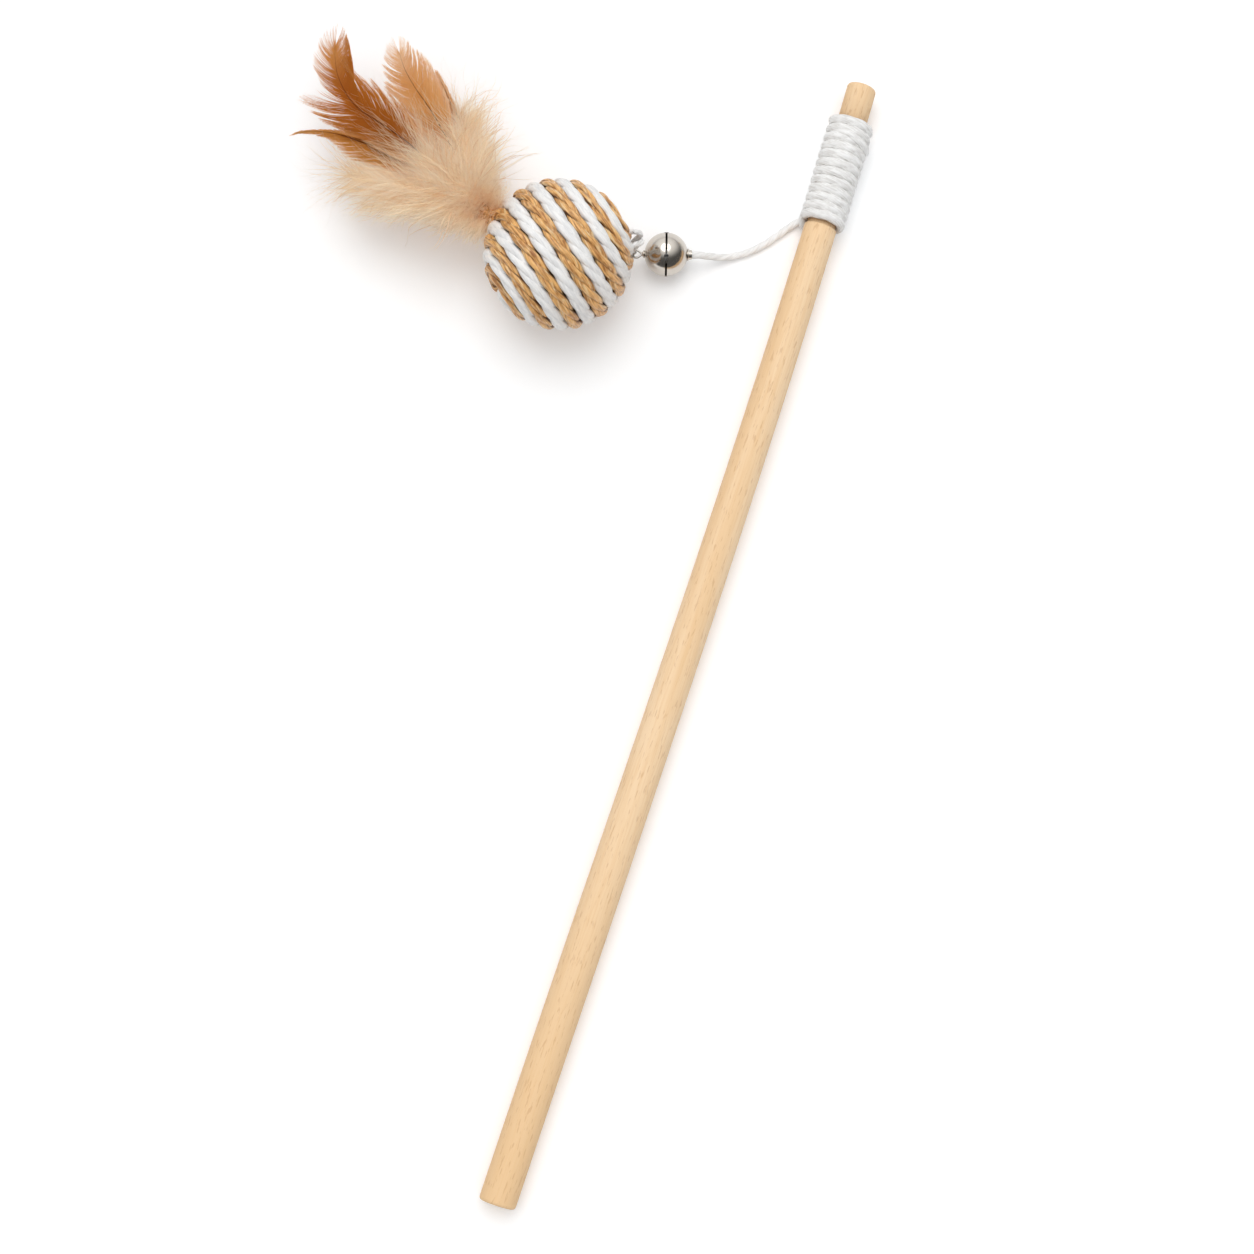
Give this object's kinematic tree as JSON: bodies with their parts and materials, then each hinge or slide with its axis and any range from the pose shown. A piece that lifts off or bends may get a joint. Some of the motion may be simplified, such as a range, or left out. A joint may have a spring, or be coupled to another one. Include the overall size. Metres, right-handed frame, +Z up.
{
  "type": "cat teaser wand",
  "caption": "Wooden wand with a cord wound on its end, a round slit bell and a cord-wound ball with feathers on a short lead cord.",
  "frame": {"origin": "centre of the flat face at the butt of the stick", "axes": "+Y along the stick from its butt to its tip, leaning up by a quarter of a degree because the stick lies on its butt and on the cord winding; +Z up from the table; the bell, ball and feathers lie on the -X side"},
  "size_m": [0.186, 0.392, 0.0492],
  "materials": {
    "beech": "satin",
    "white_cord": "matte",
    "lead_cord": "matte",
    "bell_nickel": "polished",
    "link_steel": "satin",
    "pellet_steel": "satin",
    "core_paper": "matte",
    "natural_cord": "satin",
    "white_paper_cord": "satin",
    "quill_glue": "satin",
    "brown_feather": "matte",
    "cream_down": "matte"
  },
  "bodies": {
    "wand": {"rod": "beech", "cord_wrap": "white_cord"},
    "lead": {"lead_cord": "lead_cord", "cord_knot": "lead_cord", "link_wire": "link_steel"},
    "bell": {"bell_half_cord_side": "bell_nickel", "bell_half_link_side": "bell_nickel", "eyelet_cord_side": "bell_nickel", "eyelet_link_side": "bell_nickel"},
    "pellet": {"bell_pellet": "pellet_steel"},
    "ring": {"link_ring": "link_steel"},
    "ball": {"hanger_loop": "white_cord", "ball_core": "core_paper", "natural_winding": "natural_cord", "white_winding": "white_paper_cord", "quill_plug": "quill_glue", "feather_1": "brown_feather", "feather_2": "brown_feather", "feather_3": "brown_feather", "feather_4": "brown_feather", "plume_1": "cream_down", "plume_2": "cream_down", "plume_3": "cream_down"}
  },
  "joints": [
    {"name": "cord_swing", "type": "hinge", "parent": "wand", "child": "lead", "pos_m": [-0.0044, 0.3441, -0.0047], "axis": [0, 0, 1], "range_deg": [-35, 30]},
    {"name": "bell_turn", "type": "hinge", "parent": "lead", "child": "bell", "pos_m": [-0.0448, 0.3158, 0.00125], "axis": [-0.9563, -0.2924, 0], "continuous": true},
    {"name": "pellet_roll", "type": "hinge", "parent": "bell", "child": "pellet", "pos_m": [-0.0448, 0.3158, 0.00125], "axis": [-0.9563, -0.2924, 0], "continuous": true},
    {"name": "ring_tilt", "type": "hinge", "parent": "lead", "child": "ring", "pos_m": [-0.0557, 0.31247, 0.00125], "axis": [-0.4955, 0.8686, 0], "range_deg": [0, 40]},
    {"name": "ball_swing", "type": "hinge", "parent": "ring", "child": "ball", "pos_m": [-0.05849, 0.31088, 0.00346], "axis": [0, 0, 1], "range_deg": [-35, 35]}
  ]
}
